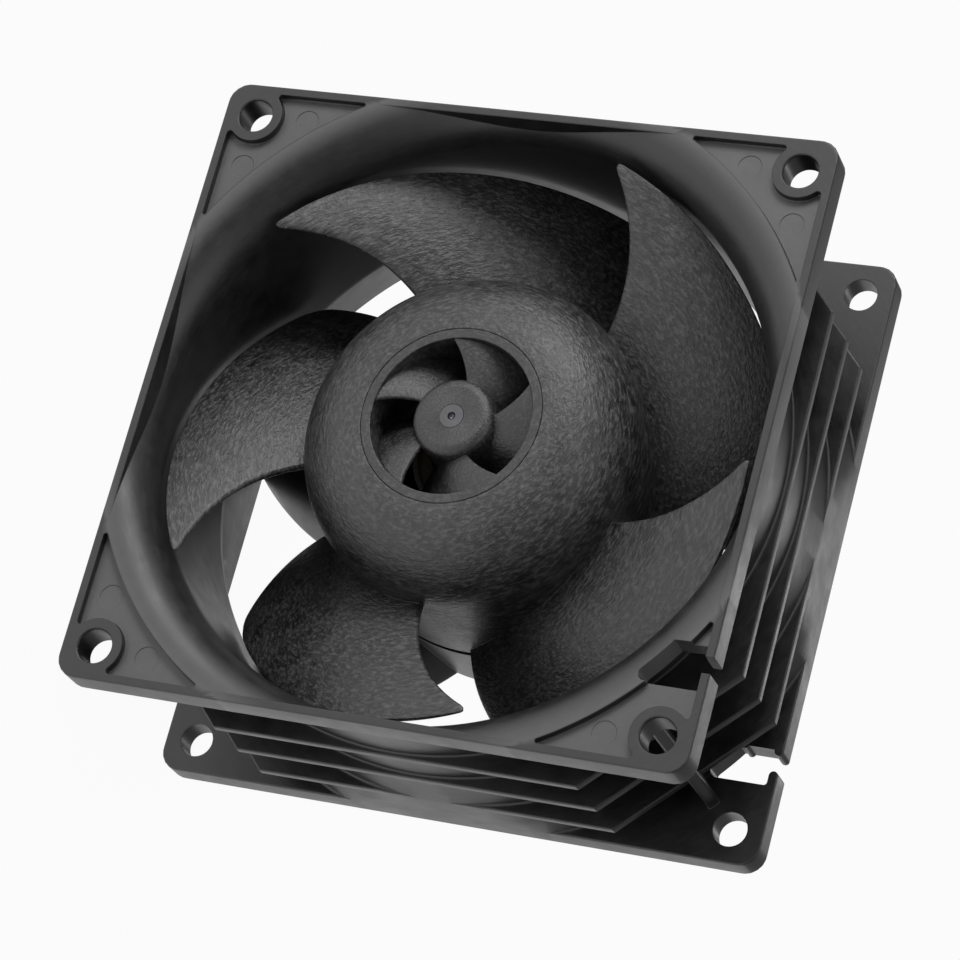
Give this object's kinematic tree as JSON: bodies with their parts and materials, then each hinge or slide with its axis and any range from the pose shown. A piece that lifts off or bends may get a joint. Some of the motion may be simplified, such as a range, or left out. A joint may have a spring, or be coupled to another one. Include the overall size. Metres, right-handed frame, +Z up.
{
  "type": "server cooling fan",
  "caption": "Square axial fan: finned duct frame with bell-mouth intake, swept blades on a domed vented hub, ball bearings and swept exhaust vanes.",
  "frame": {"origin": "centre of the box's bottom face, on the ground under the fan axis", "axes": "the fan stands on one long side, +Y along the fan axis from the intake to the exhaust, +Z up, the corner with the lead slots at +X and +Z"},
  "size_m": [0.08, 0.038, 0.08],
  "materials": {
    "frame_plastic": "black glass-filled polyester, satin",
    "impeller_plastic": "black glass-filled polyester, satin with fine fibre marks",
    "insert_plastic": "black glass-filled polyester, satin",
    "bearing_steel": "ground and polished",
    "shaft_steel": "ground",
    "spring_steel": "bright rolled",
    "yoke_steel": "zinc plated",
    "turned_brass": "turned",
    "bonded_ferrite": "dull dark grey",
    "electrical_steel": "stacked sheet, varnished",
    "insulator_nylon": "natural nylon",
    "enamelled_copper": "enamelled wire, glossy",
    "tinned_pin": "tinned",
    "board_laminate": "green solder mask",
    "chip_epoxy": "moulded epoxy",
    "capacitor_can": "bright can",
    "resistor_ceramic": "glazed",
    "cage_nylon": "moulded"
  },
  "bodies": {
    "frame": {"frame_housing": "frame_plastic", "bearing_tube": "turned_brass", "bearing_cap": "frame_plastic", "preload_washer": "spring_steel", "stator_core": "electrical_steel", "upper_insulator": "insulator_nylon", "lower_insulator": "insulator_nylon", "terminal_pins": "tinned_pin", "circuit_board": "board_laminate", "driver_chip": "chip_epoxy", "hall_sensor": "chip_epoxy", "smoothing_capacitor": "capacitor_can", "chip_resistors": "resistor_ceramic", "front_bearing_outer_ring": "bearing_steel", "front_bearing_shields": "spring_steel", "rear_bearing_outer_ring": "bearing_steel", "rear_bearing_shields": "spring_steel", "coil_1": "enamelled_copper", "coil_2": "enamelled_copper", "coil_3": "enamelled_copper", "coil_4": "enamelled_copper", "coil_5": "enamelled_copper", "coil_6": "enamelled_copper"},
    "rotor": {"impeller": "impeller_plastic", "hub_insert": "insert_plastic", "shaft": "shaft_steel", "yoke_bushing": "turned_brass", "rotor_yoke": "yoke_steel", "magnet_ring": "bonded_ferrite", "retaining_clip": "spring_steel", "front_bearing_inner_ring": "bearing_steel", "rear_bearing_inner_ring": "bearing_steel"},
    "front_ball_set": {"front_bearing_balls": "bearing_steel", "front_bearing_cage": "cage_nylon"},
    "rear_ball_set": {"rear_bearing_balls": "bearing_steel", "rear_bearing_cage": "cage_nylon"}
  },
  "joints": [
    {"name": "rotor_spin", "type": "hinge", "parent": "frame", "child": "rotor", "pos_m": [0, 0, 0.04], "axis": [0, -1, 0], "continuous": true},
    {"name": "front_ball_set_spin", "type": "hinge", "parent": "frame", "child": "front_ball_set", "pos_m": [0, 0, 0.04], "axis": [0, -1, 0], "continuous": true},
    {"name": "rear_ball_set_spin", "type": "hinge", "parent": "frame", "child": "rear_ball_set", "pos_m": [0, 0, 0.04], "axis": [0, -1, 0], "continuous": true}
  ],
  "couplings": [
    {"joint": "front_ball_set_spin", "follows": "rotor_spin", "ratio": 0.3726},
    {"joint": "rear_ball_set_spin", "follows": "rotor_spin", "ratio": 0.3726}
  ]
}
